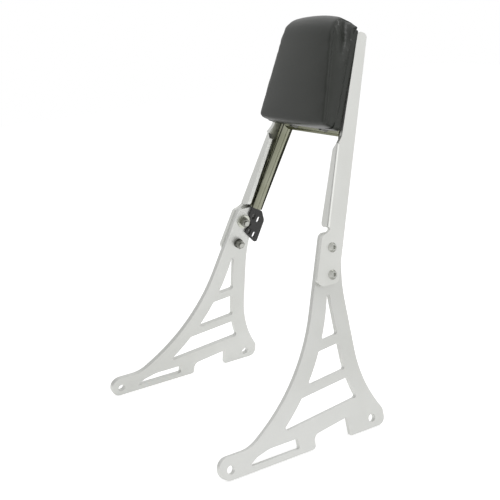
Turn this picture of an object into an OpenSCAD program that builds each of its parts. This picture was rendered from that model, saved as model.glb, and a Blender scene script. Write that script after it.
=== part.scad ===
// Backrest bar that bolts to the rear fender of a motorcycle.
// Two cut side plates lean in and carry two pressed uprights, a tube hoop and a pad.
// X runs across the motorcycle, +Y to the rear, +Z up, and the plates stand on Z = 0.

/* [Side plates] */
// Distance between the outer faces of the two plates, on the line of the fender holes
foot_span = 280; // [265:1:300]
// Distance between the planes of the two plates at the height of the hoop's top run
top_span = 95.6; // [88:0.2:104]
// Thickness of a plate
plate_t = 6; // [5:0.5:8]
// Distance between the two fender holes of a plate
hole_pitch = 182; // [178:1:190]
// Length of the front foot, from its fender hole to the start of the front edge's curve
foot_run = 26; // [20:1:32]
// Diameter of the fender holes
fender_hole_d = 9; // [6.5:0.5:11]
// Height of the fender holes above the bottom edge
hole_h = 10.5; // [9:0.5:12]
// Length of the plate in front of the front fender hole
toe_len = 13; // [12:0.5:16]
// Length of the plate behind the rear fender hole
heel_len = 16.5; // [14:0.5:20]
// Height of the front foot above the line of the fender holes
foot_rise = 14; // [12:0.5:16]
// Radius of the front edge of the plate
front_sweep_r = 225; // [215:1:240]
// Radius of the rear edge where it runs out into the heel
heel_sweep_r = 133; // [110:1:150]
// Radius of the rear edge where it bends back into the neck
neck_sweep_r = 178; // [150:1:200]
// Height of the start of the heel sweep above the fender holes
waist_lo = 80; // [74:1:84]
// Height of the start of the neck sweep above the fender holes
waist_hi = 135; // [125:1:140]
// Distance of the straight waist behind the front fender hole
waist_u = 176.8; // [174:0.2:180]
// Width of the neck where the upright is bolted on
neck_w = 29; // [26:0.5:32]
// Height of the front corner of the neck above the fender holes
neck_top = 213.5; // [208:0.5:218]
// Radius of the front corner of the neck
neck_corner_r = 7; // [3:0.5:9]

/* [Plate cut-outs] */
// Width of metal left between the windows and the edges of the plate
window_margin = 18; // [15:0.5:21]
// Height of the lower edge of the lowest window at the waist
window_sill = 29.5; // [26:0.5:33]
// Height of the middle of the lower strut at the waist
strut_lo = 59.7; // [56:0.5:63]
// Height of the middle of the upper strut at the waist
strut_hi = 99.4; // [95:0.5:103]
// Width of the struts
strut_w = 9.8; // [7:0.2:13]
// Rise of the struts to the rear, in degrees
strut_tilt = 6; // [4:0.5:8]
// Height of the rounded top of the upper window
window_top = 147; // [138:1:152]
// Radius of the window corners
window_r = 2.6; // [1:0.2:4]
// Start of the long foot slot behind the front fender hole
slot_start = 24; // [20:0.5:30]
// Length of the foot slot
slot_len = 60; // [50:1:66]
// Height of the foot slot
slot_h = 11; // [8:0.5:12]
// Height of the upper edge of the foot slot above the fender holes
slot_rise = 7; // [5:0.5:7.5]
// Start of the notch in the bottom edge behind the front fender hole
notch_start = 104; // [98:1:110]
// Length of the notch
notch_len = 46.5; // [40:0.5:48]
// Height of the front end of the notch above the fender holes
notch_rise = 4; // [2:0.5:5]
// Height of the rear end of the notch above the fender holes
notch_rear_rise = 10.7; // [8:0.5:12]
// Radius of the front inner corner of the notch
notch_r = 8; // [4:0.5:9]

/* [Uprights] */
// Backward lean of the uprights within the plane of the plates, in degrees
bar_lean = 21.3; // [19:0.1:23]
// Thickness of the pressed steel of an upright
bar_t = 5; // [4:0.5:6]
// Distance of the rear edge of the uprights in front of the rear edge of the neck
bar_set_back = 2; // [1:0.1:3]
// Width of the upright below the pad
bar_w = 21.2; // [20:0.2:23]
// Width of the bolted end of the uprights
lug_w = 28; // [26:0.5:29]
// Width of the upright just above the shoulder under the pad
bar_shoulder_w = 17.6; // [16:0.2:19]
// Width of the upright at its top end
bar_top_w = 12.4; // [11:0.2:15]
// Height of the top end of the uprights above the fender holes, along the plate
bar_top = 420; // [410:1:430]
// Height of the lower end of the uprights above the fender holes, along the plate
bar_bottom = 157; // [154:0.5:158]
// Width across of the front flange at its lower end
flange_lo_w = 16; // [14:0.5:17]
// Width across of the front flange at its upper end
flange_hi_w = 10.5; // [8:0.5:14]
// Height of the lower end of the front flange, along the plate
flange_lo = 219; // [217:0.5:226]
// Height of the shoulder where the front flange ends, along the plate
flange_hi = 301; // [292:1:304]
// Radius at the top corners of the uprights
bar_top_r = 5; // [2:0.5:6]
// Depth of the relief cut between the front flange and the bolted end
relief_d = 3; // [2:0.5:6]
// Width of the relief cut
relief_w = 4; // [3:0.5:5]

/* [Hoop] */
// Outer diameter of the hoop tube
tube_d = 15.8; // [15:0.2:17]
// Wall of the hoop tube
tube_wall = 1.6; // [1.2:0.1:2.5]
// Distance of the tube axis in front of the rear edge of the upright
tube_back = 4.5; // [3.5:0.25:6]
// Gap between the tube and the upright beside it
tube_gap = 0.2; // [0.1:0.05:0.3]
// Height of the open lower end of the tube above the fender holes, along the plate
tube_end = 211.2; // [211:0.2:216]
// Clearance of the coped end of the tube around the top of a plate
cope_gap = 1; // [0.4:0.1:2]
// Height of the top run of the hoop above the fender holes, along the plate
hoop_top = 398; // [390:1:404]
// Radius of the hoop corners, on the tube axis
hoop_bend_r = 22; // [20:1:26]
// Height of the cross bar above the fender holes, along the plate
cross_bar_v = 316.5; // [312:0.5:322]

/* [Slotted bracket and tab] */
// Thickness of the slotted bracket on the left and of the plain tab on the right
bracket_t = 3; // [2:0.5:4]
// Width of the plain tab on the right
tab_w = 6.4; // [5:0.2:7]
// Length of the plain tab below the top of the plate
tab_len = 24; // [16:1:28]
// Length of the tongue inside the hoop tube
tongue_len = 12; // [8:1:20]
// Play between the tongue and the inside of the tube, on the diameter
tongue_play = 0.4; // [0.2:0.1:0.6]
// Width of the adjustment slots
adj_slot_w = 4.4; // [3:0.2:4.8]
// Length of the adjustment slots
adj_slot_len = 8; // [6:0.2:9]
// Distance between the two rows of slots along the bracket
adj_row = 20.4; // [19:0.2:22]
// Distance between the two columns of slots
adj_col = 8.6; // [8:0.2:9.6]
// Step of the rear column below the front one
adj_step = 3; // [0:0.5:4]

/* [Pad] */
// Clearance between the hoop's top run and the cushion that wraps over it
roll_gap = 4.6; // [3:0.2:6]
// Width of the pad at its lower edge
pad_lo_w = 137; // [128:1:140]
// Width of the pad at its upper edge
pad_hi_w = 92; // [84:1:98]
// Thickness of the pad at its lower edge, board included
pad_lo_t = 25; // [22:0.5:28]
// Radius of the roll along the top of the cushion
roll_r = 23.4; // [20:0.2:25]
// Distance that the roll reaches behind the board
roll_back = 10.5; // [8:0.5:11]
// Width of the part of the roll that reaches behind the board
roll_back_w = 80; // [70:1:82]
// Crown of the front face of the cushion
pad_crown = 2; // [0.5:0.5:3]
// Radius of the front edges of the cushion
pad_edge_r = 6; // [4:0.5:8]
// Radius of the corners of the pad outline
pad_corner_r = 7; // [6:0.5:10]
// Thickness of the board behind the cushion
board_t = 6; // [4:0.5:8]
// Distance of the pad's lower edge below the axis of the cross bar
pad_drop = 5; // [3:0.5:9]
// Standoff between the cross bar and the board
spacer_lo = 6.6; // [6:0.2:8]
// Standoff between the top run of the hoop and the board
spacer_hi = 2.4; // [2:0.2:4]
// Distance between the two lower pad bolts
pad_bolt_lo = 60; // [50:1:70]
// Distance between the two upper pad bolts
pad_bolt_hi = 20; // [18:1:24]

/* [Fasteners] */
// Diameter of the bolts of the uprights and the pad
bolt_d = 6; // [5:0.5:6]
// Clearance of the bolt holes over the bolts, on the diameter
bolt_play = 0.6; // [0.4:0.1:1]
// Height of the upper neck bolt above the fender holes, along the plate
bolt_hi_v = 196; // [194:0.5:197]
// Height of the lower neck bolt above the fender holes, along the plate
bolt_lo_v = 167; // [166.5:0.5:170]
// Distance of the upper neck bolt from the rear edge of the upright
bolt_hi_in = 13.5; // [13:0.5:14.5]
// Distance of the lower neck bolt from the rear edge of the upright
bolt_lo_in = 9; // [8.5:0.5:12]
// Diameter of the button heads
head_d = 11; // [10:0.5:12]
// Height of the button heads
head_h = 3.3; // [3:0.1:4]
// Diameter of the wide washers at the upper neck bolts
wide_washer_d = 17; // [15:0.5:17]
// Diameter of the plain washers
washer_d = 12; // [11:0.5:13]
// Thickness of the washers
washer_t = 1.4; // [1:0.1:2]
// Width of the nuts across their flats
nut_af = 10; // [9:0.5:11]
// Height of the nuts
nut_h = 5.2; // [4:0.2:6]

/* [Hidden] */
$fn = 48;
left = -1;
right = 1;
arc_steps = 10;
sweep_steps = 14;
eps = 0.01;
seat_gap = 0.02;
bend_r = 4;

// A bent run of tube is a hair thicker than the straight runs, which reach a little into it
bend_swell = 0.1;
bend_lap = 1.2;
steel = [0.80, 0.80, 0.78];
chrome = [0.56, 0.57, 0.50];
bolt_metal = [0.70, 0.70, 0.68];
black_metal = [0.10, 0.10, 0.10];
pad_black = [0.20, 0.21, 0.19];
board_black = [0.13, 0.13, 0.13];

// Lean of each plate towards the middle, from upright
plate_lean = asin((foot_span - top_span) / 2 / hoop_top);

// Height of the fender holes above the floor, with the lower inner edges of the plates on it
hole_z = hole_h * cos(plate_lean) + plate_t * sin(plate_lean);

// Plate outline, as u to the rear and v up along the plate, from the front fender hole
lean_dir = [sin(bar_lean), cos(bar_lean)];
across_dir = [cos(bar_lean), -sin(bar_lean)];
heel_c = [waist_u + heel_sweep_r, waist_lo];
neck_c = [waist_u + neck_sweep_r, waist_hi];
neck_rear = neck_c - neck_sweep_r * across_dir;
neck_heel = neck_rear + lean_dir * ((neck_top - neck_rear[1]) / lean_dir[1]);
neck_corner = [neck_heel[0] - neck_w / cos(bar_lean), neck_top];

// The front edge runs straight down the neck, then curves to meet the top of the front foot
foot_pt = [foot_run, foot_rise];
neck_rise = (neck_corner - foot_pt) * lean_dir;
neck_over = (neck_corner - foot_pt) * across_dir;
neck_side = neck_rise - sqrt(pow(front_sweep_r, 2) - pow(neck_over - front_sweep_r, 2));
front_c = neck_corner - neck_side * lean_dir - front_sweep_r * across_dir;
toe_angle = 95 + atan2(foot_pt[1] - front_c[1], foot_pt[0] - front_c[0]);
sweep_in = front_c + front_sweep_r * [sin(toe_angle), -cos(toe_angle)];
toe_corner = [sweep_in[0] - (sweep_in[1] - foot_rise) / tan(toe_angle), foot_rise];
heel_angle = 29.5;
heel_in = heel_c - heel_sweep_r * [cos(heel_angle), sin(heel_angle)];
heel_end = hole_pitch + heel_len;
heel_corner = [heel_end, heel_in[1] - (heel_end - heel_in[0]) / tan(heel_angle)];

// Frame of the upright in u and v: origin on its rear edge, at the level of the plate top
bar_ref = neck_heel - bar_set_back * across_dir;
function bar_at(v, back) = bar_ref + lean_dir * ((v - bar_ref[1]) / lean_dir[1]) - back * across_dir;
function bar_z(v, y) = (v - bar_ref[1] + y * sin(bar_lean)) / cos(bar_lean);
function bar_pt(v, y) = [y, bar_z(v, y)];

// The part's origin lies halfway between the toes and the rear of the uprights
mid_y = (bar_at(bar_top, 0)[0] + 1 - toe_len) / 2;

// Hoop tube: axis of a leg in the frame of the plate, then the plane that both legs lie in
tube_r = tube_d / 2;
tube_in = tube_r + tube_gap;
function plate_to_part(p) = [
  foot_span / 2 + p[0] * cos(plate_lean) - p[2] * sin(plate_lean),
  p[1] - mid_y,
  hole_z + p[0] * sin(plate_lean) + p[2] * cos(plate_lean)
];
function leg_at(v) = let (q = bar_at(v, tube_back)) plate_to_part([-tube_in, q[0], q[1]]);
function in_bar_at(v) = bar_z(v + tube_back * sin(bar_lean), 0);
leg_dir = [-sin(plate_lean) * lean_dir[1], lean_dir[0], cos(plate_lean) * lean_dir[1]];
hoop_tilt = atan2(leg_dir[1], leg_dir[2]);
leg_toe = atan2(-leg_dir[0], norm([leg_dir[1], leg_dir[2]]));
hoop_foot = leg_at(tube_end);
function rise_to(p) = norm([p[1] - hoop_foot[1], p[2] - hoop_foot[2]]);
hoop_rise = rise_to(leg_at(hoop_top));
cross_rise = rise_to(leg_at(cross_bar_v));
function leg_half(rise) = hoop_foot[0] - rise * tan(leg_toe);

// Pad: its back plane stands off from the cross bar and from the top run of the hoop
bar_gap = tube_r + spacer_lo;
top_gap = tube_r + spacer_hi;
pad_turn = asin((bar_gap - top_gap) / (hoop_rise - cross_rise));
pad_tilt = hoop_tilt + pad_turn;
pad_top_bolt = (hoop_rise - cross_rise) * cos(pad_turn);

// Neck bolts, in the frame of the upright
neck_bolts = [bar_pt(bolt_hi_v, -bolt_hi_in), bar_pt(bolt_lo_v, -bolt_lo_in)];

// Slotted bracket, in the frame of the upright
slot_mid_y = 1;
slot_row_z = -15.4;
tongue_off = max(abs(tube_in - plate_t), abs(plate_t + bracket_t - tube_in)) + seat_gap;
tongue_w = 2 * sqrt(pow(tube_r - tube_wall - tongue_play / 2, 2) - pow(tongue_off, 2));
function slot_col_y(z) = slot_mid_y - adj_col / 2 + (z < slot_row_z - 1 ? 1.8 : 0);

// Pad, in its own frame: half width at y, and the axis of the roll along its top
roll_y = pad_top_bolt + tube_r + roll_gap;
pad_h = roll_y + roll_r + pad_drop;
function pad_half(y) = (pad_lo_w - (pad_lo_w - pad_hi_w) * (y + pad_drop) / pad_h) / 2;
roll_z = bar_gap - roll_back + roll_r;
pad_bolt_at = [
  [-pad_bolt_lo / 2, 0, 0],
  [pad_bolt_lo / 2, 0, 0],
  [-pad_bolt_hi / 2, pad_top_bolt, bar_gap - top_gap],
  [pad_bolt_hi / 2, pad_top_bolt, bar_gap - top_gap]
];

// Corner of an outline rounded by an arc of radius r
function unit(v) = v / norm(v);
function round_corner(a, b, c, r) = r <= 0 ? [b] :
  let (
    to_a = unit(a - b),
    to_c = unit(c - b),
    half = acos(to_a * to_c) / 2,
    mid = b + unit(to_a + to_c) * r / sin(half),
    p = b + to_a * r / tan(half) - mid,
    q = b + to_c * r / tan(half) - mid,
    start = atan2(p[1], p[0]),
    sweep = (atan2(q[1], q[0]) - start + 540) % 360 - 180
  )
  [for (i = [0:arc_steps]) mid + r * [cos(start + sweep * i / arc_steps), sin(start + sweep * i / arc_steps)]];
function rounded(pts) = [
  for (i = [0:len(pts) - 1])
    let (n = len(pts), a = pts[(i + n - 1) % n], b = pts[i], c = pts[(i + 1) % n])
      each round_corner([a[0], a[1]], [b[0], b[1]], [c[0], c[1]], b[2])
];
function sweep_pts(c, r, from, to) = [
  for (i = [0:sweep_steps])
    let (t = from + (to - from) * i / sweep_steps) [c[0] + r * cos(t), c[1] + r * sin(t), 0]
];

// Window edges: the edges of the plate moved in by the margin
function window_front(v) = front_c[0] + sqrt(pow(front_sweep_r + window_margin, 2) - pow(front_c[1] - v, 2));
function window_rear(v) = v < waist_lo
  ? heel_c[0] - sqrt(pow(heel_sweep_r + window_margin, 2) - pow(waist_lo - v, 2))
  : waist_u - window_margin;
function tilt_line(level, u) = level - (waist_u - u) * tan(strut_tilt);
function front_hit(level, u, n) = n == 0 ? u : front_hit(level, window_front(tilt_line(level, u)), n - 1);
function rear_hit(level, u, n) = n == 0 ? u : rear_hit(level, window_rear(tilt_line(level, u)), n - 1);
function window_pts(lo, hi) =
  let (
    fu0 = front_hit(lo, 110, 8),
    fu1 = front_hit(hi, 130, 8),
    ru0 = rear_hit(lo, 160, 4),
    ru1 = rear_hit(hi, 160, 4),
    fv0 = tilt_line(lo, fu0),
    fv1 = tilt_line(hi, fu1),
    rv0 = tilt_line(lo, ru0),
    rv1 = tilt_line(hi, ru1)
  )
  concat(
    [[fu0, fv0, window_r], [ru0, rv0, window_r]],
    [for (i = [1:4]) let (v = rv0 + (rv1 - rv0) * (i + 0.5) / 6) [window_rear(v), v, 0]],
    [[ru1, rv1, window_r], [fu1, fv1, window_r]],
    [for (i = [1:4]) let (v = fv1 + (fv0 - fv1) * (i + 0.5) / 6) [window_front(v), v, 0]]
  );
function top_window_pts(lo) =
  let (
    fu0 = front_hit(lo, 130, 8),
    ru0 = rear_hit(lo, 160, 4),
    fv0 = tilt_line(lo, fu0),
    rv0 = tilt_line(lo, ru0)
  )
  concat(
    [[fu0, fv0, window_r], [ru0, rv0, window_r]],
    [[window_rear(window_top), window_top, 1.6], [window_front(window_top), window_top, 1.2]],
    [for (i = [1:5]) let (v = window_top + (fv0 - window_top) * (i + 0.3) / 7) [window_front(v), v, 0]]
  );

// Frame of one plate: x out of the plate from its outer face, y to the rear, z up along it
module on_plate(side) {
  mirror([side < 0 ? 1 : 0, 0, 0])
    translate([foot_span / 2, -mid_y, hole_z])
      rotate([0, -plate_lean, 0])
        children();
}

// A flat profile drawn in u and v, from x = at, with thickness t
module sheet(at, t) {
  translate([at, 0, 0])
    rotate([90, 0, 90])
      linear_extrude(t)
        children();
}

// A round bar or hole square to the plate, at u and v
module square_to_plate(at, len, d, u, v) {
  translate([at, u, v])
    rotate([0, 90, 0])
      cylinder(h = len, d = d);
}

module plate_outline() {
  polygon(rounded(concat(
    [[-toe_len, -hole_h, (hole_h + foot_rise) / 2 - 0.2], [notch_start, -hole_h, 4]],
    [[notch_start, notch_rise, notch_r], [notch_start + notch_len, notch_rear_rise, 2]],
    [[notch_start + notch_len, -hole_h, 1.5], [heel_end, -hole_h, 9]],
    [[heel_corner[0], heel_corner[1], 6]],
    sweep_pts(heel_c, heel_sweep_r, 180 + heel_angle, 180),
    sweep_pts(neck_c, neck_sweep_r, 180, 180 - bar_lean),
    [[neck_heel[0], neck_heel[1], 2], [neck_corner[0], neck_corner[1], neck_corner_r]],
    sweep_pts(front_c, front_sweep_r, -bar_lean, toe_angle - 90),
    [[toe_corner[0], toe_corner[1], 36], [-toe_len, foot_rise, (hole_h + foot_rise) / 2 - 0.2]]
  )));
}

module plate_windows() {
  strut_half = strut_w / 2 / cos(strut_tilt);
  polygon(rounded(window_pts(window_sill, strut_lo - strut_half)));
  polygon(rounded(window_pts(strut_lo + strut_half, strut_hi - strut_half)));
  polygon(rounded(top_window_pts(strut_hi + strut_half)));
}

module foot_slot() {
  slot_lo = slot_rise - slot_h;
  polygon(rounded([
    [slot_start, slot_lo, 1.2],
    [slot_start + slot_len, slot_lo, 1.2],
    [slot_start + slot_len, slot_rise, 1.2],
    [slot_start + 24, slot_rise, 30],
    [slot_start + 8, slot_rise - 4, 8],
    [slot_start, slot_lo + 2, 0.8]
  ]));
}

module side_plate(side) {
  color(steel)
    on_plate(side)
      difference() {
        sheet(-plate_t, plate_t)
          difference() {
            plate_outline();
            plate_windows();
            foot_slot();
          }
        for (u = [0, hole_pitch])
          square_to_plate(-plate_t - 1, plate_t + 2, fender_hole_d, u, 0);
        in_bar_frame() {
          for (p = neck_bolts)
            square_to_plate(-plate_t - 1, plate_t + 2, bolt_d + bolt_play, p[0], p[1]);
        }
      }
}

// Frame of the upright: y from its rear edge, z along it
module in_bar_frame() {
  translate([0, bar_ref[0], bar_ref[1]])
    rotate([-bar_lean, 0, 0])
      children();
}

module wall_outline() {
  flange_z = bar_z(flange_lo, -bar_w);
  lug_z = flange_z - relief_w - 4.5;
  shoulder_z = bar_z(flange_hi, -bar_w) + 5;
  polygon(rounded([
    [0, bar_z(bar_bottom, 0), 7],
    [0, bar_z(bar_top, 0), bar_top_r],
    [-bar_top_w, bar_z(bar_top, 0), bar_top_r],
    [-bar_shoulder_w, shoulder_z + 9, 8],
    [-bar_w, shoulder_z, 8],
    [-bar_w, flange_z, 1],
    [-bar_w + relief_d, flange_z - relief_w / 2, 1.2],
    [-bar_w - 1.6, lug_z + 0.6, 2],
    [-lug_w, lug_z - 3, 5],
    [-lug_w, bar_z(bar_bottom, -lug_w), 8]
  ]));
}

module flange_outline() {
  lo = bar_z(flange_lo, -bar_w);
  hi = bar_z(flange_hi, -bar_w);
  polygon(rounded([
    [0, lo, 0],
    [bar_t - flange_lo_w, lo, 6],
    [bar_t - flange_hi_w, hi, 3],
    [0, hi + 5, 0],
    [bar_t, hi + 5, 0],
    [bar_t, lo, 0]
  ]));
}

// Rounds the outer corner where the flange is bent off the wall
module bend_cut() {
  lo = bar_z(flange_lo, -bar_w);
  hi = bar_z(flange_hi, -bar_w) + 5;
  translate([bar_t - bend_r, -bar_w + bend_r, lo - 2])
    difference() {
      translate([0, -bend_r - 1, 0])
        cube([bend_r + 1, bend_r + 1, hi - lo + 2]);
      translate([0, 0, -1])
        cylinder(h = hi - lo + 4, r = bend_r);
    }
}

module upright(side) {
  color(steel)
    on_plate(side)
      translate([seat_gap, 0, 0])
        in_bar_frame()
          difference() {
            union() {
              sheet(0, bar_t)
                wall_outline();
              translate([0, bar_t - bar_w, 0])
                rotate([90, 0, 0])
                  linear_extrude(bar_t)
                    flange_outline();
            }
            bend_cut();
            for (p = neck_bolts)
              square_to_plate(-1, bar_t + 2, bolt_d + bolt_play, p[0], p[1]);
          }
}

// Frame of the hoop: y up along the plane of the tube, z square to it to the front
module on_hoop() {
  translate([0, hoop_foot[1], hoop_foot[2]])
    rotate([90 - hoop_tilt, 0, 0])
      children();
}

// One leg and half the top run, as a bar of radius r that starts below the foot by extra
module half_hoop(r, extra) {
  bend_y = hoop_rise - hoop_bend_r;
  bend_x = leg_half(bend_y) - hoop_bend_r / cos(leg_toe);
  leg_len = (bend_y + hoop_bend_r * sin(leg_toe)) / cos(leg_toe);
  translate([hoop_foot[0], 0, 0])
    rotate([-90, 0, leg_toe])
      translate([0, 0, -extra])
        cylinder(h = leg_len + extra + bend_lap, r = r);
  translate([bend_x, bend_y, 0])
    rotate([0, 0, leg_toe])
      rotate_extrude(angle = 90 - leg_toe)
        translate([hoop_bend_r, 0])
          circle(r = r + bend_swell);
  translate([0, hoop_rise, 0])
    rotate([0, 90, 0])
      cylinder(h = bend_x + bend_lap, r = r);
}

module whole_hoop(r, extra) {
  half_hoop(r, extra);
  mirror([1, 0, 0])
    half_hoop(r, extra);
}

module hoop() {
  color(chrome)
    difference() {
      on_hoop()
        difference() {
          whole_hoop(tube_r, 0);
          whole_hoop(tube_r - tube_wall, 1);
        }
      for (side = [left, right])
        on_plate(side)
          translate([-plate_t - tube_gap, 0, 0])
            cube([plate_t + tube_d, 2 * hole_pitch, neck_top + cope_gap]);
      on_pad()
        for (x = [-pad_bolt_hi / 2, pad_bolt_hi / 2])
          translate([x, pad_top_bolt, -tube_d])
            cylinder(h = 3 * tube_d, d = bolt_d + bolt_play);
    }
}

module cross_tube() {
  reach = leg_half(cross_rise);
  color(chrome)
    difference() {
      on_hoop()
        difference() {
          translate([-reach, cross_rise, 0])
            rotate([0, 90, 0])
              cylinder(h = 2 * reach, r = tube_r);
          translate([-reach - 1, cross_rise, 0])
            rotate([0, 90, 0])
              cylinder(h = 2 * reach + 2, r = tube_r - tube_wall);
          for (side = [left, right])
            translate([side * hoop_foot[0], 0, 0])
              rotate([-90, 0, side * leg_toe])
                cylinder(h = hoop_rise, r = tube_r + seat_gap);
        }
      on_pad()
        for (x = [-pad_bolt_lo / 2, pad_bolt_lo / 2])
          translate([x, 0, -tube_d])
            cylinder(h = 3 * tube_d, d = bolt_d + bolt_play);
    }
}

// Flat bracket on the inner face of a plate, with a tongue up into the tube
module bracket_outline() {
  tongue_top = in_bar_at(neck_top + cope_gap) + tongue_len;
  difference() {
    union() {
      polygon(rounded([
        [slot_mid_y - 9, slot_row_z - adj_row - 2, 3.5],
        [slot_mid_y + 10.5, slot_row_z - adj_row - 12, 3.5],
        [slot_mid_y + 14.4, slot_row_z - adj_row - 10.5, 2],
        [slot_mid_y + 13.6, slot_row_z - 2, 8],
        [slot_mid_y + 4.6, slot_row_z + 9.8, 4],
        [slot_mid_y - 7.4, slot_row_z + 7.6, 3.5],
        [slot_mid_y - 10.6, slot_row_z, 3],
        [slot_mid_y - 3, slot_row_z - adj_row / 2, 5]
      ]));
      translate([-tube_back - tongue_w / 2, slot_row_z])
        square([tongue_w, tongue_top - slot_row_z]);
    }
    for (z = [slot_row_z, slot_row_z - adj_row])
      for (step = [0, 1])
        translate([slot_col_y(z) + step * adj_col, z - step * adj_step])
          adjustment_slot();
  }
}

module adjustment_slot() {
  run = (adj_slot_len - adj_slot_w) / 2;
  translate([-adj_slot_w / 2, -run])
    square([adj_slot_w, 2 * run]);
  for (z = [-run, run])
    translate([0, z])
      circle(d = adj_slot_w);
}

module slotted_bracket() {
  color(black_metal)
    on_plate(left)
      in_bar_frame()
        sheet(-plate_t - bracket_t - seat_gap, bracket_t)
          bracket_outline();
}

// On the right the tongue only carries a narrow tab beside the wide washer
module plain_tab() {
  tongue_foot = in_bar_at(tube_end - 0.5);
  tongue_top = in_bar_at(neck_top + cope_gap) + tongue_len;
  tab_front = -bolt_hi_in + wide_washer_d / 2 + 0.6;
  color(black_metal)
    on_plate(right)
      in_bar_frame()
        sheet(-plate_t - bracket_t - seat_gap, bracket_t) {
          polygon(rounded([
            [tab_front, tongue_foot + 0.2, 0],
            [tab_front, tongue_foot - tab_len, 3],
            [tab_front + tab_w, tongue_foot - tab_len, 3],
            [tab_front + tab_w, tongue_foot + 0.2, 0]
          ]));
          translate([-tube_back - tongue_w / 2, tongue_foot])
            square([tongue_w, tongue_top - tongue_foot]);
        }
}

// Frame of the pad: y up along the back of the board, z to the front, from the cross bar
module on_pad() {
  translate([0, leg_at(cross_bar_v)[1], leg_at(cross_bar_v)[2]])
    rotate([90 - pad_tilt, 0, 0])
      children();
}

module board_outline(inset) {
  top = roll_y - 1;
  polygon(rounded([
    [-pad_lo_w / 2 + inset, -pad_drop + inset, pad_corner_r],
    [pad_lo_w / 2 - inset, -pad_drop + inset, pad_corner_r],
    [pad_half(top) - inset, top, 3],
    [-pad_half(top) + inset, top, 3]
  ]));
}

module board() {
  color(board_black)
    on_pad()
      difference() {
        translate([0, 0, bar_gap])
          linear_extrude(board_t)
            board_outline(1.5);
        for (p = pad_bolt_at)
          translate([p[0], p[1], bar_gap - 1])
            cylinder(h = board_t + 2, d = bolt_d + bolt_play);
      }
}

// Round bar inside the cushion that gives its front face a slight crown
module crown_bar() {
  crown_r = (pad_lo_t + roll_r * 2 - roll_back) / 2 - board_t + pad_crown;
  cylinder(h = 0.5 * pad_lo_w, r = crown_r, center = true, $fn = 40);
}

module cushion() {
  front_z = bar_gap + pad_lo_t;
  low_y = -pad_drop + pad_edge_r;
  color(pad_black)
    on_pad()
      difference() {
        hull() {
          translate([0, 0, bar_gap + board_t + seat_gap])
            linear_extrude(3)
              board_outline(0);
          for (side = [left, right])
            translate([side * (pad_half(low_y) - pad_edge_r), low_y, front_z - pad_edge_r])
              sphere(r = pad_edge_r, $fn = 24);
          translate([0, 0.3 * roll_y, bar_gap + board_t])
            rotate([0, 90, 0])
              crown_bar();
          for (step = [[0, 8], [2.4, 2.4], [8, 0]])
            translate([-pad_half(roll_y) + step[1], roll_y, roll_z])
              rotate([0, 90, 0])
                cylinder(h = 2 * (pad_half(roll_y) - step[1]), r = roll_r - step[0], $fn = 40);
        }
        translate([-pad_lo_w, -pad_h, bar_gap - 60])
          cube([2 * pad_lo_w, pad_h + roll_y, 60 + board_t]);
        for (side = [0, 1])
          mirror([side, 0, 0])
            translate([roll_back_w / 2, 0, bar_gap - 60])
              cube([pad_lo_w, 2 * pad_h, 60 + board_t]);
      }
}

module pad_spacer_set() {
  color(bolt_metal)
    difference() {
      on_pad()
        for (p = pad_bolt_at)
          translate([p[0], p[1], p[2]])
            difference() {
              cylinder(h = bar_gap - p[2], d = washer_d);
              translate([0, 0, -1])
                cylinder(h = bar_gap + 2, d = bolt_d + bolt_play);
            }
      on_hoop() {
        translate([-pad_lo_w / 2, cross_rise, 0])
          rotate([0, 90, 0])
            cylinder(h = pad_lo_w, r = tube_r + seat_gap);
        translate([-pad_lo_w / 2, hoop_rise, 0])
          rotate([0, 90, 0])
            cylinder(h = pad_lo_w, r = tube_r + seat_gap);
      }
    }
}

module button_head(d, h) {
  cylinder(h = h, d1 = d * 0.66, d2 = d);
}

module hex_socket(h) {
  cylinder(h = h, d = 4.6, $fn = 6);
}

module pad_bolt_set() {
  color(bolt_metal)
    on_pad()
      for (p = pad_bolt_at)
        translate([p[0], p[1], p[2] - tube_r - washer_t - 2 * seat_gap])
          difference() {
            union() {
              cylinder(h = bar_gap + board_t - p[2] + tube_r, d = bolt_d);
              translate([0, 0, -head_h])
                button_head(head_d, head_h);
            }
            translate([0, 0, -head_h - eps])
              hex_socket(2);
          }
}

module pad_washer_set() {
  color(bolt_metal)
    on_pad()
      for (p = pad_bolt_at)
        translate([p[0], p[1], p[2] - tube_r - washer_t - seat_gap])
          washer(washer_d);
}

module washer(d) {
  difference() {
    cylinder(h = washer_t, d = d);
    translate([0, 0, -1])
      cylinder(h = washer_t + 2, d = bolt_d + bolt_play);
  }
}

// Neck bolts run inward from the outer face of the upright
module neck_bolt_pair(side) {
  color(bolt_metal)
    on_plate(side)
      in_bar_frame()
        for (p = neck_bolts)
          translate([bar_t + 2 * seat_gap, p[0], p[1]])
            rotate([0, -90, 0])
              difference() {
                union() {
                  cylinder(h = bar_t + plate_t + washer_t + nut_h + 2, d = bolt_d);
                  translate([0, 0, -head_h])
                    button_head(head_d, head_h);
                }
                translate([0, 0, -head_h - eps])
                  hex_socket(2);
              }
}

module neck_washer(side, p, d) {
  color(bolt_metal)
    on_plate(side)
      in_bar_frame()
        translate([-plate_t - seat_gap, p[0], p[1]])
          rotate([0, -90, 0])
            washer(d);
}

module neck_nut_pair(side) {
  color(bolt_metal)
    on_plate(side)
      in_bar_frame()
        for (p = neck_bolts)
          translate([-plate_t - washer_t - 2 * seat_gap, p[0], p[1]])
            rotate([0, -90, 0])
              difference() {
                cylinder(h = nut_h, d = nut_af / cos(30), $fn = 6);
                translate([0, 0, -1])
                  cylinder(h = nut_h + 2, d = bolt_d + 0.04);
              }
}

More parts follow.
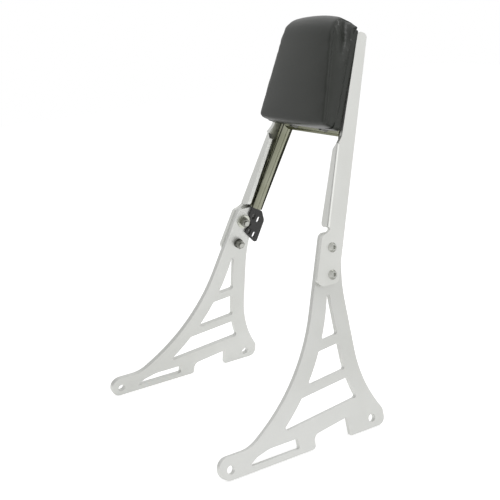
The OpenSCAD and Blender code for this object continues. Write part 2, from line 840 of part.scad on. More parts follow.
module left_side_plate() { side_plate(left); }
module right_side_plate() { side_plate(right); }
module left_upright() { upright(left); }
module right_upright() { upright(right); }
module hoop_tube() { hoop(); }
module cross_bar() { cross_tube(); }
module left_slotted_bracket() { slotted_bracket(); }
module right_tube_tab() { plain_tab(); }
module pad_board() { board(); }
module pad_cushion() { cushion(); }
module pad_spacers() { pad_spacer_set(); }
module pad_bolts() { pad_bolt_set(); }
module pad_bolt_washers() { pad_washer_set(); }
module left_neck_bolts() { neck_bolt_pair(left); }
module right_neck_bolts() { neck_bolt_pair(right); }
module left_wide_washer() { neck_washer(left, neck_bolts[0], wide_washer_d); }
module right_wide_washer() { neck_washer(right, neck_bolts[0], wide_washer_d); }
module left_plain_washer() { neck_washer(left, neck_bolts[1], washer_d); }
module right_plain_washer() { neck_washer(right, neck_bolts[1], washer_d); }
module left_neck_nuts() { neck_nut_pair(left); }
module right_neck_nuts() { neck_nut_pair(right); }

left_side_plate();
right_side_plate();
left_upright();
right_upright();
hoop_tube();
cross_bar();
left_slotted_bracket();
right_tube_tab();
pad_board();
pad_cushion();
pad_spacers();
pad_bolts();
pad_bolt_washers();
left_neck_bolts();
right_neck_bolts();
left_wide_washer();
right_wide_washer();
left_plain_washer();
right_plain_washer();
left_neck_nuts();
right_neck_nuts();
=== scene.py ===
import math

import bmesh
import bpy
from mathutils import Matrix, Vector, bvhtree, kdtree, noise


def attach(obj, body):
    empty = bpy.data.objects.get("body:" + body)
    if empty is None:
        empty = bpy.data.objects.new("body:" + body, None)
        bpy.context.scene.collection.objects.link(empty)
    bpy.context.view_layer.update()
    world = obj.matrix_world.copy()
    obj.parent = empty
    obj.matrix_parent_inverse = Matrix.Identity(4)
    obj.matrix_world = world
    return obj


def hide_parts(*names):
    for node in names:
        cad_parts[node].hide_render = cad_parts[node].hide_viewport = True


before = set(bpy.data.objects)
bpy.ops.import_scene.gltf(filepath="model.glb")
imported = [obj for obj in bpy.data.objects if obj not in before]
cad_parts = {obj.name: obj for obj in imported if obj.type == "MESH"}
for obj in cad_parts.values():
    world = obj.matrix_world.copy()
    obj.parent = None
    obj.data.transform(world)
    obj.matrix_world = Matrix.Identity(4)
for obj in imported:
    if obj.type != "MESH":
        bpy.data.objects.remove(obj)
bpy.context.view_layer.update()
scene = bpy.context.scene
print("frame loaded")


def addObject(name, data):
    item = bpy.data.objects.new(name, data)
    scene.collection.objects.link(item)
    return item


# Materials: each is one Principled shader with procedural detail in object space

detailSettings = {
    "rampStart": 0.35,
    "rampEnd": 0.65,
    "cloudDetail": 3.0,
    "grainDetail": 4.0,
}


def newMaterial(name):
    material = bpy.data.materials.new(name)
    material.use_nodes = True
    tree = material.node_tree
    shader = tree.nodes["Principled BSDF"]
    return material, tree, shader


def addNoise(tree, scale, detail, stretch=(1.0, 1.0, 1.0)):
    coords = tree.nodes.new("ShaderNodeTexCoord")
    mapping = tree.nodes.new("ShaderNodeMapping")
    mapping.inputs["Scale"].default_value = stretch
    noiseNode = tree.nodes.new("ShaderNodeTexNoise")
    noiseNode.inputs["Scale"].default_value = scale
    noiseNode.inputs["Detail"].default_value = detail
    tree.links.new(coords.outputs["Object"], mapping.inputs["Vector"])
    tree.links.new(mapping.outputs["Vector"], noiseNode.inputs["Vector"])
    return noiseNode


# Base colour that drifts between two near tones, and the noise that drives it
def addCloud(tree, shader, settings):
    cloud = addNoise(tree, settings["cloudScale"], detailSettings["cloudDetail"])
    ramp = tree.nodes.new("ShaderNodeValToRGB")
    ramp.color_ramp.elements[0].position = detailSettings["rampStart"]
    ramp.color_ramp.elements[0].color = (*settings["low"], 1.0)
    ramp.color_ramp.elements[1].position = detailSettings["rampEnd"]
    ramp.color_ramp.elements[1].color = (*settings["high"], 1.0)
    tree.links.new(cloud.outputs["Fac"], ramp.inputs["Fac"])
    tree.links.new(ramp.outputs["Color"], shader.inputs["Base Color"])
    return cloud


def addRoughness(tree, shader, source, settings):
    node = tree.nodes.new("ShaderNodeMapRange")
    node.inputs["To Min"].default_value = settings["roughLow"]
    node.inputs["To Max"].default_value = settings["roughHigh"]
    tree.links.new(source.outputs["Fac"], node.inputs["Value"])
    tree.links.new(node.outputs["Result"], shader.inputs["Roughness"])


def addBump(tree, shader, source, settings):
    bump = tree.nodes.new("ShaderNodeBump")
    bump.inputs["Strength"].default_value = settings["bumpStrength"]
    bump.inputs["Distance"].default_value = settings["bumpDistance"]
    tree.links.new(source.outputs[0], bump.inputs["Height"])
    tree.links.new(bump.outputs["Normal"], shader.inputs["Normal"])


def metalMaterial(name, settings):
    material, tree, shader = newMaterial(name)
    shader.inputs["Metallic"].default_value = settings["metallic"]
    shader.inputs["Specular Tint"].default_value = (*settings["edgeTint"], 1.0)
    addCloud(tree, shader, settings)
    grain = addNoise(tree, settings["grainScale"], detailSettings["grainDetail"], settings["grainStretch"])
    addRoughness(tree, shader, grain, settings)
    addBump(tree, shader, grain, settings)
    return material


def vinylMaterial(name, settings):
    material, tree, shader = newMaterial(name)
    shader.inputs["Specular IOR Level"].default_value = settings["specular"]
    cloud = addCloud(tree, shader, settings)
    addRoughness(tree, shader, cloud, settings)
    coords = tree.nodes.new("ShaderNodeTexCoord")
    cells = tree.nodes.new("ShaderNodeTexVoronoi")
    cells.inputs["Scale"].default_value = settings["grainScale"]
    tree.links.new(coords.outputs["Object"], cells.inputs["Vector"])
    addBump(tree, shader, cells, settings)
    return material


plateSettings = {
    "metallic": 0.85,
    "edgeTint": (1.0, 1.0, 1.0),
    "low": (0.60, 0.605, 0.58),
    "high": (0.65, 0.655, 0.635),
    "cloudScale": 9.0,
    "grainScale": 60.0,
    "grainStretch": (1.0, 0.12, 5.0),    # brushed lengthwise
    "roughLow": 0.34,
    "roughHigh": 0.44,
    "bumpStrength": 0.05,
    "bumpDistance": 0.0004,
}
uprightSettings = {
    "metallic": 0.85,
    "edgeTint": (1.0, 1.0, 1.0),
    "low": (0.67, 0.675, 0.645),
    "high": (0.72, 0.725, 0.70),
    "cloudScale": 9.0,
    "grainScale": 60.0,
    "grainStretch": (5.0, 5.0, 0.12),    # brushed upward
    "roughLow": 0.30,
    "roughHigh": 0.40,
    "bumpStrength": 0.05,
    "bumpDistance": 0.0004,
}
tubeSettings = {
    "metallic": 1.0,
    # The dark edge tint paints dark reflections along the tube's grazing edges
    "edgeTint": (0.35, 0.35, 0.33),
    "low": (0.245, 0.25, 0.185),
    "high": (0.30, 0.305, 0.24),
    "cloudScale": 30.0,
    "grainScale": 80.0,
    "grainStretch": (1.0, 1.0, 1.0),
    "roughLow": 0.12,
    "roughHigh": 0.20,
    "bumpStrength": 0.02,
    "bumpDistance": 0.0002,
}
fastenerSettings = {
    "metallic": 1.0,
    "edgeTint": (0.6, 0.6, 0.6),
    "cloudScale": 60.0,
    "grainScale": 200.0,
    "grainStretch": (1.0, 1.0, 1.0),
    "roughLow": 0.22,
    "roughHigh": 0.34,
    "bumpStrength": 0.05,
    "bumpDistance": 0.0002,
}
# Neck bolt tones: the bolts' own grey, darkened further to paint in the shade of their hex sockets
boltTonesWithSocketShade = {"low": (0.41, 0.415, 0.385), "high": (0.48, 0.485, 0.455)}
washerTones = {"low": (0.50, 0.51, 0.45), "high": (0.58, 0.59, 0.53)}
nutTones = {"low": (0.21, 0.21, 0.19), "high": (0.28, 0.28, 0.26)}
darkTones = {"low": (0.10, 0.10, 0.09), "high": (0.15, 0.15, 0.14)}
blackSettings = {
    "metallic": 0.0,
    "edgeTint": (1.0, 1.0, 1.0),
    "low": (0.010, 0.010, 0.010),
    "high": (0.020, 0.020, 0.019),
    "cloudScale": 60.0,
    "grainScale": 300.0,
    "grainStretch": (1.0, 1.0, 1.0),
    "roughLow": 0.30,
    "roughHigh": 0.42,
    "bumpStrength": 0.08,
    "bumpDistance": 0.0002,
}
boardSettings = {
    "metallic": 0.0,
    "edgeTint": (1.0, 1.0, 1.0),
    "low": (0.012, 0.012, 0.011),
    "high": (0.022, 0.021, 0.020),
    "cloudScale": 25.0,
    "grainScale": 120.0,
    "grainStretch": (1.0, 6.0, 1.0),
    "roughLow": 0.70,
    "roughHigh": 0.85,
    "bumpStrength": 0.2,
    "bumpDistance": 0.0004,
}
vinylSettings = {
    "specular": 0.46,
    "low": (0.0165, 0.0190, 0.0150),
    "high": (0.0235, 0.0265, 0.0215),
    "cloudScale": 14.0,
    "grainScale": 900.0,
    "roughLow": 0.34,
    "roughHigh": 0.46,
    "bumpStrength": 0.15,
    "bumpDistance": 0.0003,
}

plateMetal = metalMaterial("satinPlate", plateSettings)
uprightMetal = metalMaterial("satinUpright", uprightSettings)
tubeMetal = metalMaterial("polishedTube", tubeSettings)
boltMetalWithSocketShade = metalMaterial("fastenerMetal", {**fastenerSettings, **boltTonesWithSocketShade})
washerMetal = metalMaterial("washerMetal", {**fastenerSettings, **washerTones})
nutMetal = metalMaterial("nutMetal", {**fastenerSettings, **nutTones})
darkMetal = metalMaterial("darkFastenerMetal", {**fastenerSettings, **darkTones})
blackMetal = metalMaterial("blackCoat", blackSettings)
boardMaterial = metalMaterial("blackBoard", boardSettings)
vinyl = vinylMaterial("blackVinyl", vinylSettings)

nodeMaterials = {
    "left_side_plate": plateMetal,
    "right_side_plate": plateMetal,
    "left_upright": uprightMetal,
    "right_upright": uprightMetal,
    "hoop_tube": tubeMetal,
    "cross_bar": tubeMetal,
    "left_slotted_bracket": blackMetal,
    "right_tube_tab": blackMetal,
    "pad_board": boardMaterial,
    "pad_cushion": vinyl,
    "left_neck_bolts": boltMetalWithSocketShade,
    "right_neck_bolts": boltMetalWithSocketShade,
    "left_wide_washer": washerMetal,
    "right_wide_washer": washerMetal,
    "left_plain_washer": darkMetal,
    "right_plain_washer": darkMetal,
    "left_neck_nuts": nutMetal,
    "right_neck_nuts": nutMetal,
    "pad_spacers": darkMetal,
    "pad_bolts": darkMetal,
    "pad_bolt_washers": darkMetal,
}
for name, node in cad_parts.items():
    node.data.materials.clear()
    node.data.materials.append(nodeMaterials[name])
print("CAD materials set")


# Frame of the pad: it starts at the cross bar's axis, y runs up the board and z to the front

padFrame = {
    "originY": 0.0978143,
    "originZ": 0.319208,
    "tiltDeg": 24.6587,
    "backZ": 0.0145,      # back of the board
    "boardT": 0.0061,
    "drop": 0.005,        # how far the pad hangs below the origin
    "height": 0.12621,
    "lowWidth": 0.137,
    "highWidth": 0.092,
    "lowT": 0.025,        # board and cushion together, at the low edge
    "rollR": 0.0234,
    "rollBack": 0.0105,   # how far the roll reaches behind the board
}
boardFront = padFrame["backZ"] + padFrame["boardT"]
padLow = -padFrame["drop"]
padTop = padFrame["height"] - padFrame["drop"]
rollLow = padTop - padFrame["rollR"]


def padMatrix():
    tilt = math.radians(90.0 - padFrame["tiltDeg"])
    place = Matrix.Translation((0.0, padFrame["originY"], padFrame["originZ"]))
    return place @ Matrix.Rotation(tilt, 4, "X")


def share(value):
    return min(1.0, max(0.0, value))


def smoothStep(value):
    part = share(value)
    return part * part * (3 - 2 * part)


# Cushion: the tight shape in rings, then a cloth simulation, then the seams

cushionSettings = {
    "profilePoints": 120,
    "acrossPoints": 30,
    "edgeSteps": 6,
    "capRings": 8,
    "lowSteps": 12,
    "rollSteps": 40,
    "rollTurnDeg": 190.0,
    "rollFoot": 0.0004,
    "fullSide": 0.0016,     # the cover's fullness on each side
    "edgeR": 0.0050,
    "lowEdgeR": 0.0060,
    "lowCorner": 0.003,
    "topCorner": 0.014,
    "backSquare": 0.007,    # square at the board, fully rounded this far in front of it
    "crown": 0.0022,
    "crownFrom": 0.004,
    "sideBulge": 0.0012,
    "capShrink": 0.98,
    "capCentreY": 0.45,     # share of the pad's height
    "capCentreZ": 0.75,     # share of its low thickness
    "backHalf": 0.0385,
    "backBlend": 0.0035,
    "uprightTop": 0.1120,
    "topBlend": 0.0040,
    "inset": 0.0006,        # taken off the tight shape, which the cloth fills again
    "voxel": 0.0032,
}


# Half the cushion's width at height y, before the corners
def padHalf(y):
    along = (y + padFrame["drop"]) / padFrame["height"]
    width = padFrame["lowWidth"] - (padFrame["lowWidth"] - padFrame["highWidth"]) * along
    return width / 2 + cushionSettings["fullSide"]


# Closed outline of the cushion's side, as y and z in the pad's frame
def sideProfile():
    settings = cushionSettings
    front = padFrame["backZ"] + padFrame["lowT"]
    rollR = padFrame["rollR"]
    rollZ = padFrame["backZ"] - padFrame["rollBack"] + rollR
    lowR = settings["lowEdgeR"]
    points = [(padLow, boardFront)]
    for step in range(settings["lowSteps"] + 1):
        turn = math.radians(90.0 * step / settings["lowSteps"])
        points.append((padLow + lowR - lowR * math.cos(turn), front - lowR + lowR * math.sin(turn)))
    lean = math.atan2(rollZ + rollR - front, rollLow - padLow)
    sweep = math.radians(settings["rollTurnDeg"] + math.degrees(lean))
    for step in range(settings["rollSteps"] + 1):
        turn = math.radians(90.0) + lean - sweep * step / settings["rollSteps"]
        points.append((rollLow + rollR * math.cos(turn), rollZ + rollR * math.sin(turn)))
    points.append((rollLow, points[-1][1]))
    points.append((rollLow + settings["rollFoot"], boardFront))
    return points


# Evenly spaced points round a closed outline
def resample(points, count):
    closed = points + [points[0]]
    lengths = [0.0]
    for a, b in zip(closed, closed[1:]):
        lengths.append(lengths[-1] + math.dist(a, b))
    total = lengths[-1]
    result = []
    index = 0
    for step in range(count):
        want = total * step / count
        while lengths[index + 1] < want:
            index += 1
        span = lengths[index + 1] - lengths[index]
        part = 0.0 if span == 0 else (want - lengths[index]) / span
        a, b = closed[index], closed[index + 1]
        result.append((a[0] + (b[0] - a[0]) * part, a[1] + (b[1] - a[1]) * part))
    return result


def inwardNormals(points):
    count = len(points)
    area = 0.0
    for i in range(count):
        a, b = points[i], points[(i + 1) % count]
        area += a[0] * b[1] - b[0] * a[1]
    sign = 1.0 if area > 0 else -1.0
    normals = []
    for i in range(count):
        a, b = points[i - 1], points[(i + 1) % count]
        dy, dz = b[0] - a[0], b[1] - a[1]
        size = math.hypot(dy, dz) or 1.0
        normals.append((-dz / size * sign, dy / size * sign))
    return normals


# How far the rounded corners take the half width in at height y
def cornerTrim(y):
    lowR = cushionSettings["lowCorner"]
    topR = cushionSettings["topCorner"]
    trim = 0.0
    for radius, past in ((lowR, padLow + lowR - y), (topR, y - padTop + topR)):
        if past > 0:
            trim += radius - math.sqrt(max(0.0, radius ** 2 - past ** 2))
    return trim


# Rearmost z of the cushion: it reaches behind the board between the uprights and over their ends
def backLimit(x, y):
    settings = cushionSettings
    rear = padFrame["backZ"] - padFrame["rollBack"]
    outside = smoothStep((abs(x) - settings["backHalf"]) / settings["backBlend"])
    over = smoothStep((y - settings["uprightTop"]) / settings["topBlend"])
    return rear + (boardFront - rear) * outside * (1 - over)


# Rings from the middle of one side panel across the front panel to the other side's middle
def ringOrder():
    settings = cushionSettings
    half = [("cap", step / settings["capRings"]) for step in range(settings["capRings"], 0, -1)]
    half += [("edge", step / settings["edgeSteps"]) for step in range(settings["edgeSteps"])]
    across = settings["acrossPoints"]
    flat = [("flat", 1 - 2 * step / across) for step in range(across + 1)]
    return [(1, ring) for ring in half + flat] + [(-1, ring) for ring in reversed(half)]


def ringPoint(side, kind, amount, spot, normal):
    settings = cushionSettings
    edgeR = settings["edgeR"]
    y, z = spot
    ny, nz = normal
    rounding = edgeR * smoothStep((z - boardFront) / settings["backSquare"])
    if y > settings["uprightTop"]:
        rounding = edgeR
    width = padHalf(y) - cornerTrim(y)
    if kind == "flat":
        x = amount * (width - edgeR)
        inFront = z > boardFront + settings["crownFrom"]
        lift = settings["crown"] * (1 - amount ** 2) if inFront else 0.0
        return (x, y - ny * lift, max(backLimit(x, y), z - nz * lift))
    if kind == "edge":
        turn = math.radians(90.0) * (1 - amount)
        drawn = rounding * (1 - math.cos(turn))
        x = side * (width - edgeR + edgeR * math.sin(turn))
        return (x, y + ny * drawn, max(backLimit(x, y), z + nz * drawn))
    shrink = 1 - amount * settings["capShrink"]
    centreY = settings["capCentreY"] * padFrame["height"]
    centreZ = padFrame["backZ"] + padFrame["lowT"] * settings["capCentreZ"]
    edgeY = y + ny * rounding
    edgeZ = max(backLimit(width, y), z + nz * rounding)
    capY = centreY + (edgeY - centreY) * shrink
    bulge = settings["sideBulge"] * (1 - shrink ** 2)
    x = side * (padHalf(capY) - (padHalf(edgeY) - width) * shrink ** 2 + bulge)
    return (x, capY, centreZ + (edgeZ - centreZ) * shrink)


# Mesh with its faces turned outward, then taken in along its normals
def outwardMesh(name, verts, faces, takenIn):
    mesh = bpy.data.meshes.new(name)
    mesh.from_pydata(verts, [], faces)
    cleaner = bmesh.new()
    cleaner.from_mesh(mesh)
    bmesh.ops.recalc_face_normals(cleaner, faces=cleaner.faces)
    cleaner.normal_update()
    spots = [vert.co - vert.normal * takenIn for vert in cleaner.verts]
    for vert, spot in zip(cleaner.verts, spots):
        vert.co = spot
    cleaner.to_mesh(mesh)
    cleaner.free()
    return mesh


def tightSkin():
    profile = resample(sideProfile(), cushionSettings["profilePoints"])
    normals = inwardNormals(profile)
    rings = ringOrder()
    verts = []
    for side, (kind, amount) in rings:
        for spot, normal in zip(profile, normals):
            verts.append(ringPoint(side, kind, amount, spot, normal))
    count = len(profile)
    last = (len(rings) - 1) * count
    faces = []
    for row in range(0, last, count):
        for i in range(count):
            j = (i + 1) % count
            faces.append((row + i, row + j, row + count + j, row + count + i))
    faces.append(tuple(range(count)))
    faces.append(tuple(last + i for i in reversed(range(count))))
    mesh = outwardMesh("padCushionSkin", verts, faces, cushionSettings["inset"])
    return addObject("padCushionSkin", mesh)


# Swaps the object's mesh for the evaluated one and takes its modifiers off
def applyModifiers(skin):
    graph = bpy.context.evaluated_depsgraph_get()
    mesh = bpy.data.meshes.new_from_object(skin.evaluated_get(graph))
    skin.modifiers.clear()
    skin.data = mesh


def remeshSkin(skin):
    remesh = skin.modifiers.new("remesh", "REMESH")
    remesh.mode = "VOXEL"
    remesh.voxel_size = cushionSettings["voxel"]
    applyModifiers(skin)


def smoothSkin(skin):
    levels = skin.modifiers.new("levels", "SUBSURF")
    levels.levels = 1
    levels.render_levels = 1
    applyModifiers(skin)


# Seams: their line, the groove, the puckers beside it and the fine welt on it

seamSettings = {
    "linePoints": 400,
    "lineFrom": 0.0015,      # the line starts this far in front of the board
    "turnDeg": 42.0,         # where on the rounded edge it runs
    "weltR": 0.00055,
    "weltLift": 0.0001,
    "weltEvery": 2,
    "weltSmooth": 2,
    "grooveDepth": 0.0007,
    "grooveWidth": 0.0022,
    "puckerDepth": 0.0009,
    "puckerReach": 0.012,
    "puckerLength": 0.0085,
    "puckerSide": 0.006,
    "puckerSideBlend": 0.004,
    "puckerLow": 0.05,
    "puckerRise": 0.04,
    "puckerCentre": 0.055,
    "puckerDrift": 0.0012,
    "driftScale": 90,
}


# The seam along one edge of the front panel, as points in the pad's frame
def seamLine(side):
    settings = seamSettings
    profile = resample(sideProfile(), settings["linePoints"])
    turn = math.radians(settings["turnDeg"])
    edgeR = cushionSettings["edgeR"]
    depth = edgeR * (1 - math.cos(turn))
    line = []
    for (y, z), (ny, nz) in zip(profile, inwardNormals(profile)):
        width = padHalf(y) - cornerTrim(y)
        x = side * (width - edgeR + edgeR * math.sin(turn))
        point = Vector((x, y + ny * depth, z + nz * depth))
        if point.z > boardFront + settings["lineFrom"]:
            line.append(point)
    return line


def seamTree():
    points = seamLine(1) + seamLine(-1)
    tree = kdtree.KDTree(len(points))
    for index, point in enumerate(points):
        tree.insert(point, index)
    tree.balance()
    return tree


# Moves a point that lies in the board's place to the nearer of its front and its top edge
def clearOfBoard(x, y, z):
    if z >= boardFront or y >= rollLow:
        return (x, y, z)
    if rollLow - y < boardFront - z:
        return (x, rollLow, z)
    return (x, y, boardFront)


# Presses the groove in and puckers the side panel, then clears the uprights and the board
def pressSeams(skin, tree):
    settings = seamSettings
    mesh = skin.data
    moves = []
    for vert in mesh.vertices:
        point = vert.co
        reach = tree.find(point)[2]
        depth = settings["grooveDepth"] * math.exp(-(reach / settings["grooveWidth"]) ** 2)
        inside = abs(point.x) - padHalf(point.y) + settings["puckerSide"]
        onSide = share(inside / settings["puckerSideBlend"])
        fade = max(0.0, 1 - reach / settings["puckerReach"]) * onSide
        high = share((point.y - settings["puckerLow"]) / settings["puckerRise"])
        centre = settings["puckerCentre"]
        drift = settings["puckerDrift"] * noise.noise(point * settings["driftScale"])
        around = math.atan2(point.y - centre, point.z - boardFront) * centre + drift
        wave = 0.5 + 0.5 * math.sin(2 * math.pi * around / settings["puckerLength"])
        depth += settings["puckerDepth"] * wave * fade * high
        moves.append(point - vert.normal * depth)
    for vert, spot in zip(mesh.vertices, moves):
        rise = max(backLimit(spot.x, spot.y), spot.z)
        vert.co = clearOfBoard(spot.x, spot.y, rise)


# Lays the welt on the finished skin, at its nearest points to the seam line
def buildWelt(skin):
    settings = seamSettings
    mesh = skin.data
    corners = [vert.co for vert in mesh.vertices]
    surface = bvhtree.BVHTree.FromPolygons(corners, [face.vertices for face in mesh.polygons])
    data = bpy.data.curves.new("padWelt", "CURVE")
    data.dimensions = "3D"
    data.bevel_depth = settings["weltR"]
    data.bevel_resolution = settings["weltSmooth"]
    for side in (1, -1):
        line = []
        for point in seamLine(side)[::settings["weltEvery"]]:
            spot, normal = surface.find_nearest(point)[:2]
            line.append(spot + normal * settings["weltLift"])
        spline = data.splines.new("POLY")
        spline.points.add(len(line) - 1)
        for target, spot in zip(spline.points, line):
            target.co = (*spot, 1.0)
    curve = addObject("padWelt", data)
    graph = bpy.context.evaluated_depsgraph_get()
    welt = bpy.data.meshes.new_from_object(curve.evaluated_get(graph))
    bpy.data.objects.remove(curve)
    return welt


# Cloth: pressure from inside swells the tight skin, held at the board and along the seams

clothSettings = {
    "pressure": 4.0,
    "frames": 20,
    "cap": 0.0032,           # no point moves further than this
    "fullness": -0.05,
    "mass": 0.12,
    "stiffness": 18.0,
    "bending": 0.25,
    "pinHeight": 0.0012,
    "pinReach": 0.0022,
    "spareSide": 0.009,
    "spareSideBlend": 0.005,
    "spareLow": 0.055,
    "spareRise": 0.03,
    "spareReach": 0.022,
}


# Weight 1 where the side panel has cloth to spare, near the roll and beside the seam
def spareCloth(point, tree):
    settings = clothSettings
    beside = share((abs(point.x) - padHalf(point.y) + settings["spareSide"]) / settings["spareSideBlend"])
    high = share((point.y - settings["spareLow"]) / settings["spareRise"])
    near = max(0.0, 1 - tree.find(point)[2] / settings["spareReach"])
    return beside * high * near


def blowUp(skin, tree):
    settings = clothSettings
    mesh = skin.data
    rest = [vert.co.copy() for vert in mesh.vertices]
    pins = skin.vertex_groups.new(name="pins")
    spare = skin.vertex_groups.new(name="spare")
    for index, point in enumerate(rest):
        onBoard = point.z < boardFront + settings["pinHeight"]
        onSeam = tree.find(point)[2] < settings["pinReach"]
        pins.add([index], 1.0 if onBoard or onSeam else 0.0, "REPLACE")
        spare.add([index], spareCloth(point, tree), "REPLACE")
    cloth = skin.modifiers.new("cloth", "CLOTH")
    values = cloth.settings
    values.use_pressure = True
    values.uniform_pressure_force = settings["pressure"]
    values.vertex_group_mass = "pins"
    values.vertex_group_shrink = "spare"
    values.shrink_min = 0.0
    values.shrink_max = settings["fullness"]
    values.mass = settings["mass"]
    values.tension_stiffness = settings["stiffness"]
    values.compression_stiffness = settings["stiffness"]
    values.bending_stiffness = settings["bending"]
    values.effector_weights.gravity = 0.0
    cloth.collision_settings.use_collision = False
    for step in range(1, settings["frames"] + 1):
        scene.frame_set(step)
    graph = bpy.context.evaluated_depsgraph_get()
    swollen = [vert.co.copy() for vert in skin.evaluated_get(graph).data.vertices]
    skin.modifiers.clear()
    scene.frame_set(1)
    for vert, start, end in zip(mesh.vertices, rest, swollen):
        move = end - start
        if move.length > settings["cap"]:
            move = move * (settings["cap"] / move.length)
        vert.co = start + move
    skin.vertex_groups.clear()


def buildCushion():
    skin = tightSkin()
    tree = seamTree()
    remeshSkin(skin)
    blowUp(skin, tree)
    smoothSkin(skin)
    pressSeams(skin, tree)
    welt = buildWelt(skin)
    for mesh in (skin.data, welt):
        mesh.transform(padMatrix())
        mesh.materials.append(vinyl)
        mesh.shade_smooth()
    return skin, addObject("padSeamWelt", welt)


# Skirt: the cover's edge goes round the board's edge and turns in a little at its back

skirtSettings = {
    "topY": 0.1105,
    "clear": 0.0021,         # inside the cushion's own side
    "corner": 0.0055,
    "cornerSteps": 8,
    "climbSteps": 24,
    "overlap": 0.0040,       # hidden under the cushion
    "lift": 0.0001,
    "middleIn": 0.0002,
    "bendIn": 0.0003,
    "bendLift": 0.0006,
    "tuck": 0.0007,
    "ripple": 0.0003,
    "rippleScale": 60,
    "rippleLayer": 0.3,
    "centreY": 0.045,
}


# One side of the board's edge, from its low corner up to the roll
def skirtSide(side):
    settings = skirtSettings
    radius = settings["corner"]
    half = padHalf(padLow) - settings["clear"]
    path = []
    for step in range(settings["cornerSteps"] + 1):
        turn = math.radians(90.0 * step / settings["cornerSteps"])
        x = half - radius + radius * math.sin(turn)
        path.append((side * x, padLow + radius - radius * math.cos(turn)))
    for step in range(1, settings["climbSteps"] + 1):
        y = padLow + radius + (settings["topY"] - padLow - radius) * step / settings["climbSteps"]
        path.append((side * (padHalf(y) - settings["clear"]), y))
    return path


# Direction from a point on the board's edge to the pad's middle
def inward(x, y):
    toward = Vector((-x, skirtSettings["centreY"] - y))
    toward.normalize()
    return toward.x, toward.y


def buildSkirt():
    settings = skirtSettings
    rear = padFrame["backZ"] + settings["lift"]
    path = skirtSide(-1)[::-1] + skirtSide(1)
    scale = settings["rippleScale"]
    bend = settings["bendIn"]
    tuck = settings["tuck"]
    verts = []
    for x, y in path:
        inX, inY = inward(x, y)
        ripple = settings["ripple"] * noise.noise(Vector((x * scale, y * scale, settings["rippleLayer"])))
        verts.append((x, y, boardFront + settings["overlap"]))
        verts.append((x + inX * (ripple + settings["middleIn"]), y + inY * ripple, (boardFront + rear) / 2))
        verts.append((x + inX * bend, y + inY * bend, rear + settings["bendLift"]))
        verts.append((x + inX * tuck, y + inY * tuck, rear))
    column = len(verts) // len(path)
    faces = []
    for start in range(0, len(verts) - column, column):
        for k in range(start, start + column - 1):
            faces.append((k, k + 1, k + column + 1, k + column))
    mesh = outwardMesh("padCoverSkirt", verts, faces, 0.0)
    mesh.transform(padMatrix())
    mesh.materials.append(vinyl)
    mesh.shade_smooth()
    return addObject("padCoverSkirt", mesh)


cushion, seamWelt = buildCushion()
skirt = buildSkirt()
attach(cushion, "root")
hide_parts("pad_cushion")
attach(seamWelt, "root")
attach(skirt, "root")
print("cushion built", len(cushion.data.vertices), "points")


# Floor, reflection cards, world and lamps

white = (1.0, 1.0, 1.0, 1.0)
black = (0.0, 0.0, 0.0, 1.0)


# 1 for the rays of the camera, of polished metal and of clear things, 0 for plain light
def lookingRays(tree):
    path = tree.nodes.new("ShaderNodeLightPath")
    highest = path.outputs["Is Camera Ray"]
    for ray in ("Is Glossy Ray", "Is Transmission Ray"):
        either = tree.nodes.new("ShaderNodeMath")
        either.operation = "MAXIMUM"
        tree.links.new(highest, either.inputs[0])
        tree.links.new(path.outputs[ray], either.inputs[1])
        highest = either.outputs[0]
    return highest


# Sends one shader to plain light and the other to the rays that look at it
def splitByRays(tree, plain, seen, output):
    mix = tree.nodes.new("ShaderNodeMixShader")
    tree.links.new(lookingRays(tree), mix.inputs["Fac"])
    tree.links.new(plain.outputs[0], mix.inputs[1])
    tree.links.new(seen.outputs[0], mix.inputs[2])
    tree.links.new(mix.outputs[0], tree.nodes[output].inputs["Surface"])


floorSettings = {
    "reach": 3.0,
    "tone": (0.80, 0.80, 0.79),
    "roughness": 0.9,
    "seenTone": (0.78, 0.78, 0.78),
    "glow": 0.55,
}


def buildFloor():
    mesh = bpy.data.meshes.new("studioFloor")
    reach = floorSettings["reach"]
    corners = [(-reach, -reach, 0.0), (reach, -reach, 0.0), (reach, reach, 0.0), (-reach, reach, 0.0)]
    mesh.from_pydata(corners, [], [(0, 1, 2, 3)])
    material, tree, shader = newMaterial("paleFloor")
    shader.inputs["Base Color"].default_value = (*floorSettings["tone"], 1.0)
    shader.inputs["Roughness"].default_value = floorSettings["roughness"]
    matte = tree.nodes.new("ShaderNodeBsdfDiffuse")
    matte.inputs["Color"].default_value = (*floorSettings["seenTone"], 1.0)
    glow = tree.nodes.new("ShaderNodeEmission")
    glow.inputs["Color"].default_value = white
    glow.inputs["Strength"].default_value = floorSettings["glow"]
    seen = tree.nodes.new("ShaderNodeAddShader")
    tree.links.new(matte.outputs[0], seen.inputs[0])
    tree.links.new(glow.outputs[0], seen.inputs[1])
    splitByRays(tree, shader, seen, "Material Output")
    mesh.materials.append(material)
    addObject("studioFloor", mesh)


# Grey cards round the object, seen only in polished metal: three stand and one lies flat
cardFoot = 0.005
cardSettings = {
    "frontCard": {"azimuthDeg": -158.0, "away": 0.55, "half": 0.30, "high": 0.95, "long": 0.0, "tone": 0.84},
    "sideCard": {"azimuthDeg": -113.0, "away": 0.55, "half": 0.14, "high": 0.95, "long": 0.0, "tone": 0.06},
    "rearCard": {"azimuthDeg": 92.0, "away": 0.60, "half": 0.34, "high": 0.95, "long": 0.0, "tone": 0.34},
    "groundCard": {"azimuthDeg": 90.0, "away": 0.34, "half": 0.30, "high": 0.0, "long": 0.26, "tone": 0.05},
}


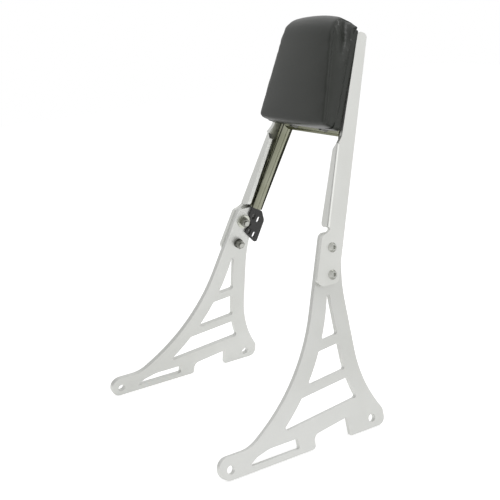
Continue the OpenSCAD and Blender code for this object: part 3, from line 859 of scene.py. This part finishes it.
def buildCard(name, settings):
    half = settings["half"]
    far = settings["long"]
    top = cardFoot + settings["high"]
    mesh = bpy.data.meshes.new(name)
    corners = [(0.0, -half, cardFoot), (0.0, half, cardFoot), (far, half, top), (far, -half, top)]
    mesh.from_pydata(corners, [], [(0, 1, 2, 3)])
    turn = math.radians(settings["azimuthDeg"])
    mesh.transform(Matrix.Rotation(turn, 4, "Z") @ Matrix.Translation((settings["away"], 0.0, 0.0)))
    material, tree, shader = newMaterial(name)
    shader.inputs["Base Color"].default_value = black
    shader.inputs["Specular IOR Level"].default_value = 0.0
    shader.inputs["Emission Color"].default_value = white
    shader.inputs["Emission Strength"].default_value = settings["tone"]
    mesh.materials.append(material)
    card = addObject(name, mesh)
    card.visible_camera = False
    card.visible_diffuse = False
    card.visible_shadow = False


worldSettings = {"light": 0.62}


def buildWorld():
    world = bpy.data.worlds.new("studioWorld")
    scene.world = world
    world.use_nodes = True
    tree = world.node_tree
    plain = tree.nodes["Background"]
    plain.inputs["Color"].default_value = white
    plain.inputs["Strength"].default_value = worldSettings["light"]
    seen = tree.nodes.new("ShaderNodeBackground")
    seen.inputs["Color"].default_value = white
    splitByRays(tree, plain, seen, "World Output")


lampAim = (0.0, 0.0, 0.22)
lampSettings = {
    "keyLamp": {"at": (0.9, -1.3, 1.6), "size": 1.2, "watts": 3.0},
    "fillLamp": {"at": (-1.4, -0.8, 0.9), "size": 1.4, "watts": 2.5},
    "rimLamp": {"at": (0.3, 1.3, 1.5), "size": 1.0, "watts": 11.0},
}


def buildLamp(name, settings):
    lampData = bpy.data.lights.new(name, "AREA")
    lampData.shape = "SQUARE"
    lampData.size = settings["size"]
    lampData.energy = settings["watts"]
    lamp = addObject(name, lampData)
    aim = Vector(lampAim) - Vector(settings["at"])
    lamp.rotation_mode = "QUATERNION"
    lamp.rotation_quaternion = aim.to_track_quat("-Z", "Y")
    lamp.location = settings["at"]


buildFloor()
buildWorld()
for cardName, cardValues in cardSettings.items():
    buildCard(cardName, cardValues)
for lampName, lampValues in lampSettings.items():
    buildLamp(lampName, lampValues)
print("stage built")


# Camera at the photograph's place

cameraSettings = {
    "azimuthDeg": 59.881,
    "elevationDeg": 15.529,
    "rollDeg": -4.817,
    "at": (0.9143, -0.53556, 0.4844),
    "lens": 68.4,
    "sensor": 36.0,
    "clipStart": 0.01,
}


def buildCamera():
    az = math.radians(cameraSettings["azimuthDeg"])
    el = math.radians(cameraSettings["elevationDeg"])
    roll = math.radians(cameraSettings["rollDeg"])
    back = Vector((math.sin(az) * math.cos(el), -math.cos(az) * math.cos(el), math.sin(el)))
    right = Vector((math.cos(az), math.sin(az), 0.0))
    up = back.cross(right)
    turnedRight = right * math.cos(roll) + up * math.sin(roll)
    turnedUp = up * math.cos(roll) - right * math.sin(roll)
    cameraData = bpy.data.cameras.new("photoCamera")
    cameraData.sensor_width = cameraSettings["sensor"]
    cameraData.lens = cameraSettings["lens"]
    cameraData.clip_start = cameraSettings["clipStart"]
    camera = addObject("photoCamera", cameraData)
    turn = Matrix((turnedRight, turnedUp, back)).transposed().to_4x4()
    camera.matrix_world = Matrix.Translation(cameraSettings["at"]) @ turn
    scene.camera = camera


buildCamera()
scene.view_settings.view_transform = "Standard"
print("camera set")
